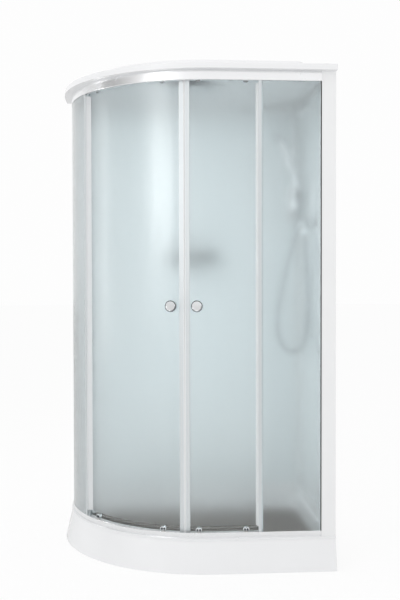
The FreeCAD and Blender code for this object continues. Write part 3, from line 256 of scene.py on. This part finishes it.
def wall_glass():
    g = Graph("wall_glass")
    s = g.shader((0.90, 0.94, 0.95), 0.10, Coat_Weight=0.6, Coat_Roughness=0.03)
    v = g.place()
    g.link(g.ramp(g.noise(v, 1.6, 2.0), (0.3, (0.89, 0.935, 0.95)), (0.7, (0.915, 0.95, 0.96))),
           s.inputs["Base Color"])
    g.link(g.spread(g.noise(v, 5.0), 0.07, 0.14), s.inputs["Roughness"])
    return g.mat


frost_colour = (0.948, 0.988, 0.996)
light_passed = 0.94
fixed_roughness = 0.21
door_roughness = 0.295
frost_change = 0.01
frost_edge = 0.0005


def frosted(name, roughness, clear_foot):
    """Satin glass that lets the lamps' light in; the doors keep a clear band along the foot."""
    g = Graph(name)
    s = g.shader(frost_colour, roughness, Transmission_Weight=1.0, IOR=1.45,
                 Coat_Weight=0.20, Coat_Roughness=0.14)
    v = g.place()
    frost = g.spread(g.noise(v, 3.0, 2.0),
                     roughness - frost_change, roughness + frost_change, 0.0, 1.0)
    if clear_foot:
        step = g.spread(g.height(), 0.0, 1.0,
                        clear_band_top - frost_edge, clear_band_top + frost_edge)
        frost = g.maths("MULTIPLY", frost, step)
    g.link(frost, s.inputs["Roughness"])
    path = g.tree.nodes.new("ShaderNodeLightPath")
    passed = g.tree.nodes.new("ShaderNodeBsdfTransparent")
    passed.inputs[0].default_value = (*(light_passed * c for c in frost_colour), 1.0)
    g.mixed(path.outputs["Is Shadow Ray"], s, passed)
    return g.mat


def vinyl():
    g = Graph("clear_vinyl")
    s = g.shader((0.94, 0.96, 0.97), 0.34, Transmission_Weight=0.10, IOR=1.5)
    v = g.place()
    g.link(g.spread(g.noise(v, 60.0), 0.30, 0.38), s.inputs["Roughness"])
    return g.mat


bright_chrome = (0.86, 0.87, 0.88)


def roller_chrome():
    """Bright guides at the foot of the doors; the hangers under the top rail get painted shade, a
    duller grey.
    """
    g = Graph("roller_chrome")
    s = g.shader(bright_chrome, 0.07, 1.0)
    # painted shade: from 1.95 m to 2.08 m up, the chrome's colour falls to grey in place of the top
    # rail's shade on the hangers
    height = g.spread(g.height(), 0.0, 1.0, 1.95, 2.08)
    g.link(g.ramp(height, (0.0, bright_chrome), (1.0, (0.46, 0.48, 0.49))), s.inputs["Base Color"])
    g.link(g.spread(g.noise(g.place(), 40.0), 0.06, 0.09), s.inputs["Roughness"])
    return g.mat


def ribbed_metal_hose():
    g = Graph("metal_hose")
    s = g.shader((0.42, 0.44, 0.46), 0.26, 0.85)
    v = g.place()
    g.link(g.spread(g.noise(v, 80.0), 0.20, 0.34), s.inputs["Roughness"])
    return g.mat


materials = {
    "white_acrylic": moulded_plastic("white_acrylic", (0.90, 0.905, 0.915), 0.22, 0.015, 0.4),
    "dark_deck": deck_boards(),
    "galvanised_steel": galvanised(),
    "black_rubber": rubber(),
    "grey_plastic": moulded_plastic("grey_plastic", (0.42, 0.43, 0.45), 0.45),
    "chromed_brass": metal("chromed_brass", bright_chrome, 0.055),
    "polished_aluminium": metal("polished_aluminium", (0.90, 0.905, 0.915), 0.25,
                                smudge=0.10, metallic=0.8),
    "white_aluminium": moulded_plastic("white_aluminium", (0.90, 0.905, 0.91), 0.36, 0.01),
    "wall_glass": wall_glass(),
    "frosted_glass": frosted("frosted_glass", fixed_roughness, False),
    "clear_vinyl": vinyl(),
    "wheel_nylon": moulded_plastic("wheel_nylon", (0.84, 0.84, 0.82), 0.34),
    "chromed_plastic": metal("chromed_plastic", (0.84, 0.85, 0.86), 0.075),
    "stainless_steel": metal("stainless_steel", (0.76, 0.77, 0.78), 0.20, (1.0, 1.0, 0.05)),
    "metal_hose": ribbed_metal_hose(),
    "dark_plastic": moulded_plastic("dark_plastic", (0.27, 0.29, 0.295), 0.25),
    "white_plastic": moulded_plastic("white_plastic", (0.88, 0.89, 0.90), 0.24, 0.02, 0.3),
    "roller_chrome": roller_chrome(),
    "dark_chrome": metal("dark_chrome", (0.11, 0.125, 0.14), 0.16),
    "satin_aluminium": metal("satin_aluminium", (0.68, 0.715, 0.73), 0.38,
                             smudge=0.10, metallic=0.7),
}
door_glass = frosted("frosted_door_glass", door_roughness, True)

upright_profiles = ("left_door_stiles", "right_door_stiles", "fixed_edge_profiles")
slot_of = {part["node"]: part["material_slot"] for part in frame["record"]["subparts"]}
for name, piece in nodes.items():
    chosen = materials[slot_of[name]]
    if name in ("left_door_glass", "right_door_glass"):
        chosen = door_glass
    if name in upright_profiles:
        chosen = materials["satin_aluminium"]
    if name in ("left_roller_carriers", "right_roller_carriers"):
        chosen = materials["roller_chrome"]
    piece.data.materials.clear()
    piece.data.materials.append(chosen)


# ------------------------------------------------------------ mesh helpers
def mesh_piece(name, bm, slot, body=None):
    """Smooth-shaded object of one material, on a body if one is given."""
    data = bpy.data.meshes.new(name)
    bmesh.ops.recalc_face_normals(bm, faces=bm.faces)
    bm.to_mesh(data)
    bm.free()
    for polygon in data.polygons:
        polygon.use_smooth = True
    piece = bpy.data.objects.new(name, data)
    scene.collection.objects.link(piece)
    data.materials.append(materials[slot])
    if body:
        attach(piece, body)
    return piece


def lathe(bm, profile, matrix, steps):
    """Revolve (radius, height) points about local Z; a last radius of 0 closes the end."""
    turns = [2 * math.pi * k / steps for k in range(steps)]
    rings = []
    for radius, height in profile:
        if radius < 1e-6:
            rings.append([bm.verts.new(matrix @ Vector((0, 0, height)))])
        else:
            rings.append([bm.verts.new(matrix @ Vector((radius * math.cos(t),
                                                        radius * math.sin(t), height)))
                          for t in turns])
    for low, high in zip(rings, rings[1:]):
        for k in range(steps):
            n = (k + 1) % steps
            if len(high) == 1:
                bm.faces.new((low[k], low[n], high[0]))
            else:
                bm.faces.new((low[k], low[n], high[n], high[k]))


# ------------------------------------------------------------ hose
# millimetres, from the cone nut to the mixer
hose_route = [
    (552.974, 225.0, 1703.657),
    (568.603, 225.0, 1666.837),
    (560.0, 225.5, 1592.0),
    (527.0, 225.0, 1451.0),
    (478.0, 219.0, 1268.0),
    (440.0, 208.0, 1087.0),
    (440.0, 190.0, 968.0),
    (480.0, 158.0, 897.0),
    (536.0, 122.0, 905.0),
    (566.0, 98.0, 975.0),
    (570.0, 86.0, 1115.0),
    (564.0, 84.0, 1290.0),
    (554.0, 85.0, 1410.0),
    (553.0, 85.0, 1475.0),
]


def route_points():
    curve = bpy.data.curves.new("route", "CURVE")
    curve.dimensions = "3D"
    curve.resolution_u = 24
    spline = curve.splines.new("NURBS")
    spline.points.add(len(hose_route) - 1)
    for point, (x, y, z) in zip(spline.points, hose_route):
        point.co = (x / 1000, y / 1000, z / 1000, 1.0)
    spline.order_u = 3
    spline.use_endpoint_u = True
    holder = bpy.data.objects.new("route", curve)
    scene.collection.objects.link(holder)
    line = bpy.data.meshes.new_from_object(holder)
    points = [v.co.copy() for v in line.vertices]
    bpy.data.objects.remove(holder)
    bpy.data.curves.remove(curve)
    bpy.data.meshes.remove(line)
    return points


def line_length(points):
    return sum((b - a).length for a, b in zip(points, points[1:]))


def even_points(points, step):
    """The same line with points a set distance apart."""
    total = line_length(points)
    count = max(2, round(total / step))
    spacing = total / count
    made = [points[0].copy()]
    walked = 0.0
    want = spacing
    for a, b in zip(points, points[1:]):
        span = (b - a).length
        while span > 0 and want <= walked + span + 1e-9 and len(made) < count:
            made.append(a.lerp(b, (want - walked) / span))
            want += spacing
        walked += span
    made.append(points[-1].copy())
    return made


def tube(name, points, radii, slot, steps=16):
    """Tube along points with one radius for each, closed at its ends."""
    bm = bmesh.new()
    side = Vector((0, 1, 0))
    rings = []
    for k, point in enumerate(points):
        along = (points[min(k + 1, len(points) - 1)] - points[max(k - 1, 0)]).normalized()
        side = (side - along * side.dot(along)).normalized()
        other = along.cross(side)
        rings.append([bm.verts.new(point + (side * math.cos(2 * math.pi * j / steps)
                                            + other * math.sin(2 * math.pi * j / steps)) * radii[k])
                      for j in range(steps)])
    for low, high in zip(rings, rings[1:]):
        for j in range(steps):
            n = (j + 1) % steps
            bm.faces.new((low[j], low[n], high[n], high[j]))
    bm.faces.new(rings[0])
    bm.faces.new(rings[-1])
    return mesh_piece(name, bm, slot)


hose_radius = 0.0070
groove = 0.00045
pitch_points = 3
step = 0.0016
whole = even_points(route_points(), step)
upper_length = 0.150
split = round(upper_length / step) // pitch_points * pitch_points
upper_points = whole[:split + 1]
lower_points = list(reversed(whole[split:]))


def hose_radii(count):
    return [hose_radius - (0.0 if k % pitch_points else groove) for k in range(count)]


upper_hose = tube("hose_upper_end", upper_points, hose_radii(len(upper_points)), "metal_hose")
main_hose = tube("hose", lower_points, hose_radii(len(lower_points))[::-1], "metal_hose")
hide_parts("shower_hose")
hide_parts("shower_hose")
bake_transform(main_hose)
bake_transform(upper_hose)


# ------------------------------------------------------------ guides and hangers: caps and screws
def screw_cap(bm, matrix, radius, height):
    """Cap with a bevelled edge and a round recess."""
    lathe(bm, [(radius, 0.0), (radius, height * 0.5), (radius * 0.86, height),
               (radius * 0.45, height), (radius * 0.40, height * 0.35), (0.0, height * 0.35)],
          matrix, 24)


def door_places(side):
    """For each hanger and guide of a door, the function that places a point by inset and height."""
    if side == "left":
        return [lambda i, h, a=a: on_corner(a, i, h) for a in left_wheel_angles]
    return [lambda i, h: on_corner(right_wheel_angle, i, h),
            lambda i, h: on_front(right_wheel_x, i, h)]


screw_offset = 0.0055
screw_face = door_outer - 0.0093
guide_cap_face = door_inner + 0.0053
hanger_cap_face = door_inner + 0.0073
hanger_cap_height = 2.10665
# radius and height of each cap
screw_head = (0.0046, 0.0016)
guide_cap = (0.0060, 0.0018)
hanger_cap = (0.0080, 0.0022)

for side in ("left", "right"):
    caps = bmesh.new()
    for spot in door_places(side):
        for reach in (-screw_offset, screw_offset):
            place, out = spot(screw_face, guide_hole_height)
            screw_cap(caps, standing(place, out) @ Matrix.Translation((reach, 0, 0)), *screw_head)
        place, out = spot(guide_cap_face, guide_hole_height)
        screw_cap(caps, standing(place, -out), *guide_cap)
        place, out = spot(hanger_cap_face, hanger_cap_height)
        screw_cap(caps, standing(place, -out), *hanger_cap)
    mesh_piece(side + "_door_screw_caps", caps, "dark_chrome", side + "_door")


# ------------------------------------------------------------ knobs: dark ring round the face, a painted reflection on the rim
def ring(bm, matrix, radius, thickness, steps=48, around=12):
    """Ring of round section about local Z; thickness is the section's radius."""
    loops = []
    for k in range(steps):
        a = 2 * math.pi * k / steps
        loop = []
        for j in range(around):
            t = 2 * math.pi * j / around
            reach = radius + thickness * math.cos(t)
            spot = Vector((reach * math.cos(a), reach * math.sin(a), thickness * math.sin(t)))
            loop.append(bm.verts.new(matrix @ spot))
        loops.append(loop)
    for k in range(steps):
        a, b = loops[k], loops[(k + 1) % steps]
        for j in range(around):
            n = (j + 1) % around
            bm.faces.new((a[j], a[n], b[n], b[j]))


# painted reflection: a dark chrome ring at each knob's rim stands in for the dark surroundings that
# the rim mirrors
knob_radius = 0.0235
band_inset = 0.0009
band_thickness = 0.0022
band_depth = 0.0021
for side, turn in (("left", 1), ("right", -1)):
    angle = meeting_angle + turn * math.degrees(knob_offset / (corner_radius - door_middle))
    place, out = on_corner(angle, door_outer - knob_stand + band_depth, knob_height)
    band = bmesh.new()
    ring(band, standing(place, out), knob_radius - band_inset, band_thickness)
    mesh_piece(side + "_knob_painted_reflection", band, "dark_chrome", side + "_door")


# ------------------------------------------------------------ rain head and handset nozzles
def nozzle(bm, matrix, radius, height):
    """Low pip with a dimple in its tip."""
    lathe(bm, [(radius, 0.0), (radius * 0.8, height * 0.7), (radius * 0.45, height),
               (0.0, height * 0.8)], matrix, 10)


def nozzle_rows(name, matrix, rows, per_row, spacing, radius, height, body):
    """Rings of nozzles about local Z, each ring with per_row more than the one inside it."""
    bm = bmesh.new()
    for row in range(1, rows + 1):
        count = per_row * row
        for k in range(count):
            t = 2 * math.pi * k / count
            place = (spacing * row * math.cos(t), spacing * row * math.sin(t), 0.0)
            nozzle(bm, matrix @ Matrix.Translation(place), radius, height)
    mesh_piece(name, bm, "grey_plastic", body)


rain_face = Matrix.Translation((*rain_centre, rain_bottom)) @ Matrix.Rotation(math.pi, 4, "X")
nozzle_rows("rain_head_nozzles", rain_face, rows=7, per_row=6, spacing=0.0145,
            radius=0.0022, height=0.0022, body="cabin")

up = Vector((-math.sin(handset_lean), 0, math.cos(handset_lean)))
head = pivot + up * handset_reach
facing = math.radians(50.0)
face_depth = 0.007
spray = Vector((-math.sin(facing), 0, -math.cos(facing)))
spray_face = standing(head + spray * face_depth, spray)
nozzle_rows("handset_nozzles", spray_face, rows=3, per_row=7, spacing=0.0095,
            radius=0.0018, height=0.0016, body="hand_shower")


# ------------------------------------------------------------ camera
def aim(camera, place, yaw, pitch, roll):
    """Point the camera; yaw is from +Y to +X, pitch is upwards, roll is anticlockwise."""
    s, c = math.sin(yaw), math.cos(yaw)
    sp, cp = math.sin(pitch), math.cos(pitch)
    forward = Vector((cp * s, cp * c, sp))
    right = Vector((c, -s, 0))
    upward = Vector((-sp * s, -sp * c, cp))
    rolled_right = right * math.cos(roll) + upward * math.sin(roll)
    rolled_up = upward * math.cos(roll) - right * math.sin(roll)
    m = Matrix((rolled_right, rolled_up, -forward)).transposed().to_4x4()
    m.translation = place
    camera.matrix_world = m


# fitted to the photograph
camera_place = Vector((-0.2634, -4.0644, 1.2503))
camera_yaw, camera_pitch, camera_roll = 0.075, -0.023, -0.002
focal_length = 52.47

lens = bpy.data.cameras.new("camera")
lens.sensor_width = 36.0
lens.lens = focal_length
lens.clip_end = 60.0
camera = bpy.data.objects.new("camera", lens)
scene.collection.objects.link(camera)
aim(camera, camera_place, camera_yaw, camera_pitch, camera_roll)
scene.camera = camera


# ------------------------------------------------------------ floor, world and lamps
floor_reach = 40.0
floor_white = 0.90
floor_glow = 1.015
glow_share = 0.86
backdrop = 0.985
plain_light = 0.80
side_dark = 0.30
side_start, side_end = 0.10, 0.70


def floor():
    """Pale floor; for camera and transmission rays it glows so that it meets the backdrop."""
    data = bpy.data.meshes.new("floor")
    r = floor_reach
    data.from_pydata([(-r, -r, 0), (r, -r, 0), (r, r, 0), (-r, r, 0)], [], [(0, 1, 2, 3)])
    piece = bpy.data.objects.new("floor", data)
    scene.collection.objects.link(piece)
    g = Graph("floor")
    diffuse = g.tree.nodes.new("ShaderNodeBsdfDiffuse")
    diffuse.inputs[0].default_value = (floor_white, floor_white, floor_white, 1)
    glow = g.tree.nodes.new("ShaderNodeEmission")
    glow.inputs[0].default_value = (1, 1, 1, 1)
    glow.inputs[1].default_value = floor_glow
    path = g.tree.nodes.new("ShaderNodeLightPath")
    seen = g.maths("MAXIMUM", path.outputs["Is Camera Ray"], path.outputs["Is Transmission Ray"])
    g.mixed(g.maths("MULTIPLY", seen, glow_share), diffuse, glow)
    data.materials.append(g.mat)


floor()


def studio_world():
    """Even white light; camera and glass see the backdrop, metal a studio darker at its sides."""
    world = bpy.data.worlds.new("studio")
    world.use_nodes = True
    scene.world = world
    tree = world.node_tree
    tree.nodes.clear()
    out = tree.nodes.new("ShaderNodeOutputWorld")
    path = tree.nodes.new("ShaderNodeLightPath")

    def background(strength):
        node = tree.nodes.new("ShaderNodeBackground")
        node.inputs[0].default_value = (1.0, 1.0, 1.0, 1.0)
        node.inputs[1].default_value = strength
        return node

    def mixed(factor, a, b):
        node = tree.nodes.new("ShaderNodeMixShader")
        tree.links.new(factor, node.inputs[0])
        tree.links.new(a, node.inputs[1])
        tree.links.new(b, node.inputs[2])
        return node.outputs[0]

    soft = background(plain_light)
    white = background(backdrop)
    sides = background(1.0)
    place = tree.nodes.new("ShaderNodeTexCoord")
    parts = tree.nodes.new("ShaderNodeSeparateXYZ")
    size = tree.nodes.new("ShaderNodeMath")
    size.operation = "ABSOLUTE"
    fall = tree.nodes.new("ShaderNodeMapRange")
    fall.inputs["From Min"].default_value = side_start
    fall.inputs["From Max"].default_value = side_end
    fall.inputs["To Min"].default_value = side_dark
    fall.inputs["To Max"].default_value = 1.0
    tree.links.new(place.outputs["Generated"], parts.inputs[0])
    tree.links.new(parts.outputs[1], size.inputs[0])
    tree.links.new(size.outputs[0], fall.inputs["Value"])
    tree.links.new(fall.outputs[0], sides.inputs[1])
    light = mixed(path.outputs["Is Glossy Ray"], soft.outputs[0], sides.outputs[0])
    light = mixed(path.outputs["Is Transmission Ray"], light, white.outputs[0])
    tree.links.new(mixed(path.outputs["Is Camera Ray"], light, white.outputs[0]), out.inputs[0])


studio_world()


def soft_box(name, place, target, width, height, power):
    """Area lamp of a size in metres and a power in watts, turned to its target."""
    lamp = bpy.data.lights.new(name, "AREA")
    lamp.shape = "RECTANGLE"
    lamp.size = width
    lamp.size_y = height
    lamp.energy = power
    piece = bpy.data.objects.new(name, lamp)
    scene.collection.objects.link(piece)
    piece.location = place
    piece.rotation_mode = "QUATERNION"
    piece.rotation_quaternion = (Vector(target) - Vector(place)).to_track_quat("-Z", "Y")


# name, place, target, width, height, power
for lamp in (("key", (-2.9, -3.6, 2.15), (-0.15, -0.35, 1.7), 1.5, 1.2, 30.0),
             ("side", (-3.6, 0.55, 1.7), (-0.46, -0.13, 1.5), 0.32, 2.0, 7.0),
             ("fill", (3.0, -3.4, 2.2), (0.1, 0.0, 1.1), 1.8, 2.6, 9.0),
             ("top", (0.0, -0.6, 4.6), (0.0, 0.0, 1.0), 3.0, 3.0, 15.0)):
    soft_box(*lamp)

scene.view_settings.view_transform = "Standard"
